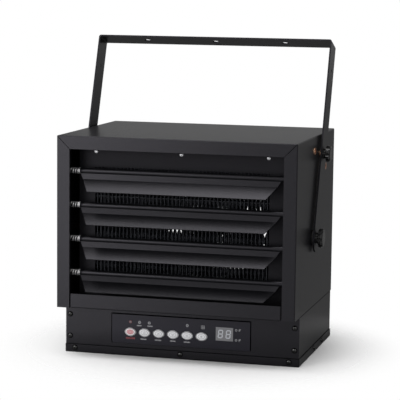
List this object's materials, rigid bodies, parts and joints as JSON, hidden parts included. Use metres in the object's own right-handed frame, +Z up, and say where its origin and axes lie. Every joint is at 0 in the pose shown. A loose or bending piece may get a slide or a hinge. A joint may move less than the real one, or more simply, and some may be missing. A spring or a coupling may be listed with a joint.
{
  "type": "ceiling mounted fan heater",
  "caption": "Boxy black ceiling fan heater with tilting louvres, a button panel in its base and a swivel bracket with locking knobs.",
  "frame": {"origin": "centre of the bounding box, at the underside of the tray", "axes": "+Z up, -Y the way the warm air leaves, +X to the right as seen from the front"},
  "size_m": [0.4032, 0.2893, 0.4836],
  "materials": {
    "black_paint": "satin powder coat",
    "guard_wire": "satin",
    "bright_steel": "bright zinc",
    "black_screw": "black oxide",
    "fan_sheet": "mill",
    "element_sheath": "oxidised",
    "brass": "plain",
    "knob_plastic": "gloss",
    "dark_plastic": "matte",
    "label": "printed film",
    "display": "gloss",
    "lit_segment": "lit",
    "button_grey": "matte",
    "button_red": "matte",
    "circuit_board": "solder mask",
    "cream_plastic": "matte"
  },
  "bodies": {
    "casing": {"hood": "black_paint", "floor_pan": "black_paint", "base_shell": "black_paint", "control_fascia": "black_paint", "bottom_tray": "black_paint", "rear_panel": "black_paint", "rear_guard": "black_paint", "inner_panel": "black_paint", "inner_duct": "black_paint", "air_guard": "guard_wire", "louvre_rods": "black_paint", "louvre_springs": "bright_steel", "louvre_spacers": "dark_plastic", "rod_rails": "black_paint", "element_upper": "element_sheath", "element_lower": "element_sheath", "element_rear": "element_sheath", "element_end_plates": "fan_sheet", "element_terminals": "bright_steel", "thermal_cutout": "bright_steel", "fan_shroud": "black_paint", "motor_body": "black_paint", "motor_mount": "black_paint", "control_label": "label", "display_module": "display", "display_digits": "lit_segment", "indicator_lamps": "lit_segment", "control_board": "circuit_board", "relay_block": "dark_plastic", "terminal_block": "cream_plastic", "cable_bush": "dark_plastic", "earth_stud": "brass", "pivot_spacers": "dark_plastic", "threaded_inserts": "brass", "inner_panel_screws": "bright_steel", "fascia_screws": "black_screw", "tray_screws": "black_screw", "rear_screws": "black_screw", "seam_screws": "bright_steel", "guard_screws": "black_screw", "motor_screws": "bright_steel"},
    "louvre_1": {"louvre_1": "black_paint"},
    "louvre_2": {"louvre_2": "black_paint"},
    "louvre_3": {"louvre_3": "black_paint"},
    "louvre_4": {"louvre_4": "black_paint"},
    "fan": {"fan_blades": "fan_sheet", "fan_hub": "bright_steel", "motor_shaft": "bright_steel"},
    "button_1": {"button_1": "button_red"},
    "button_2": {"button_2": "button_grey"},
    "button_3": {"button_3": "button_grey"},
    "button_4": {"button_4": "button_grey"},
    "button_5": {"button_5": "button_grey"},
    "button_6": {"button_6": "button_grey"},
    "bracket": {"bracket": "black_paint", "knob_washers": "bright_steel"},
    "pivot_knob_left": {"pivot_knob_left": "knob_plastic"},
    "pivot_knob_right": {"pivot_knob_right": "knob_plastic"},
    "lock_knob_left": {"lock_knob_left": "knob_plastic"},
    "lock_knob_right": {"lock_knob_right": "knob_plastic"}
  },
  "joints": [
    {"name": "bracket_tilt", "type": "hinge", "parent": "casing", "child": "bracket", "pos_m": [0, -0.0146, 0.1843], "axis": [1, 0, 0], "range_deg": [-20, 20]},
    {"name": "louvre_1_tilt", "type": "hinge", "parent": "casing", "child": "louvre_1", "pos_m": [0, -0.118, 0.285], "axis": [1, 0, 0], "range_deg": [-47, 43]},
    {"name": "louvre_2_tilt", "type": "hinge", "parent": "casing", "child": "louvre_2", "pos_m": [0, -0.118, 0.2329], "axis": [1, 0, 0], "range_deg": [-41, 49]},
    {"name": "louvre_3_tilt", "type": "hinge", "parent": "casing", "child": "louvre_3", "pos_m": [0, -0.118, 0.1808], "axis": [1, 0, 0], "range_deg": [-42, 48]},
    {"name": "louvre_4_tilt", "type": "hinge", "parent": "casing", "child": "louvre_4", "pos_m": [0, -0.118, 0.1287], "axis": [1, 0, 0], "range_deg": [-36, 54]},
    {"name": "fan_spin", "type": "hinge", "parent": "casing", "child": "fan", "pos_m": [0, 0.063, 0.20825], "axis": [0, 1, 0], "continuous": true},
    {"name": "button_1_press", "type": "slide", "parent": "casing", "child": "button_1", "axis": [0, 1, 0], "range_m": [0, 0.0008], "stiffness_N_per_m": 300},
    {"name": "button_2_press", "type": "slide", "parent": "casing", "child": "button_2", "axis": [0, 1, 0], "range_m": [0, 0.0008], "stiffness_N_per_m": 300},
    {"name": "button_3_press", "type": "slide", "parent": "casing", "child": "button_3", "axis": [0, 1, 0], "range_m": [0, 0.0008], "stiffness_N_per_m": 300},
    {"name": "button_4_press", "type": "slide", "parent": "casing", "child": "button_4", "axis": [0, 1, 0], "range_m": [0, 0.0008], "stiffness_N_per_m": 300},
    {"name": "button_5_press", "type": "slide", "parent": "casing", "child": "button_5", "axis": [0, 1, 0], "range_m": [0, 0.0008], "stiffness_N_per_m": 300},
    {"name": "button_6_press", "type": "slide", "parent": "casing", "child": "button_6", "axis": [0, 1, 0], "range_m": [0, 0.0008], "stiffness_N_per_m": 300},
    {"name": "pivot_knob_left_turn", "type": "hinge", "parent": "casing", "child": "pivot_knob_left", "pos_m": [-0.196, -0.0146, 0.1843], "axis": [1, 0, 0], "continuous": true},
    {"name": "pivot_knob_right_turn", "type": "hinge", "parent": "casing", "child": "pivot_knob_right", "pos_m": [0.196, -0.0146, 0.1843], "axis": [1, 0, 0], "continuous": true},
    {"name": "lock_knob_left_turn", "type": "hinge", "parent": "bracket", "child": "lock_knob_left", "pos_m": [-0.196, 0.03089, 0.30928], "axis": [1, 0, 0], "continuous": true},
    {"name": "lock_knob_right_turn", "type": "hinge", "parent": "bracket", "child": "lock_knob_right", "pos_m": [0.196, 0.03089, 0.30928], "axis": [1, 0, 0], "continuous": true}
  ]
}
